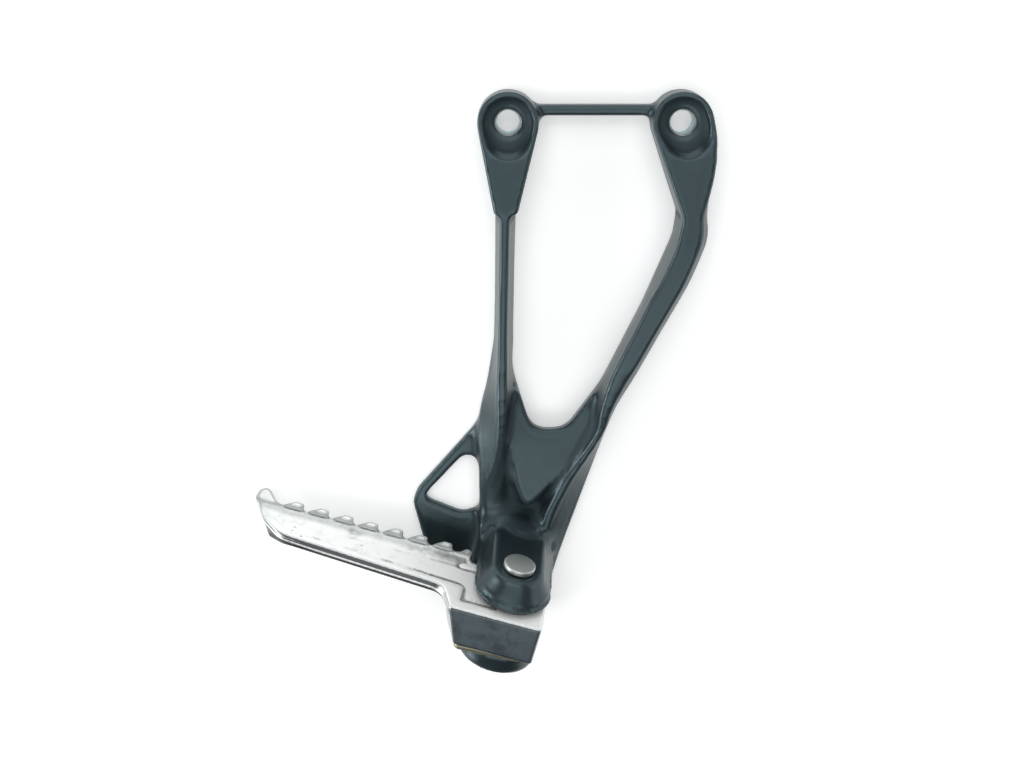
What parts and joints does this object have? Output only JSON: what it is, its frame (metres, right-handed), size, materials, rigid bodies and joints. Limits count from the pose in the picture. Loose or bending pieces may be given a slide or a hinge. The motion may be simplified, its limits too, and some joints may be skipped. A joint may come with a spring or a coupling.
{
  "type": "folding passenger foot peg with hanger",
  "caption": "Folding motorcycle passenger foot peg with a saw-toothed cast aluminium tread, hinged on a headed pin in the clevis of a satin black cast hanger bracket with bolt eyes.",
  "frame": {"origin": "middle of the bottom of the assembly's box as it lies on its bolt faces with the peg folded", "axes": "+X along the line of the bolts towards the curved strut, +Y from the clevis towards the bolts, +Z along the bolts, outwards from the motorcycle"},
  "size_m": [0.1768, 0.2198, 0.0558],
  "materials": {
    "bracket_paint": "satin black paint on cast aluminium",
    "peg_metal": "bare cast, handled",
    "pin_steel": "dull plated",
    "spring_steel": "plain",
    "plate_zinc": "yellow zinc plate"
  },
  "bodies": {
    "bracket": {"bracket": "bracket_paint", "pivot_pin": "pin_steel", "thrust_washer": "pin_steel", "detent_plate": "plate_zinc", "pin_washer": "pin_steel", "pin_clip": "spring_steel"},
    "peg": {"peg": "peg_metal", "detent_spring": "spring_steel"},
    "ball": {"detent_ball": "spring_steel"}
  },
  "joints": [
    {"name": "peg_fold", "type": "hinge", "parent": "bracket", "child": "peg", "pos_m": [0.01084, -0.08472, 0.0355], "axis": [0.2317, 0.9503, 0.2079], "range_deg": [0, 94]},
    {"name": "ball_click", "type": "slide", "parent": "peg", "child": "ball", "axis": [-0.2317, -0.9503, -0.2079], "range_m": [0, 0.0009], "stiffness_N_per_m": 200, "springref_m": 0.0009}
  ]
}
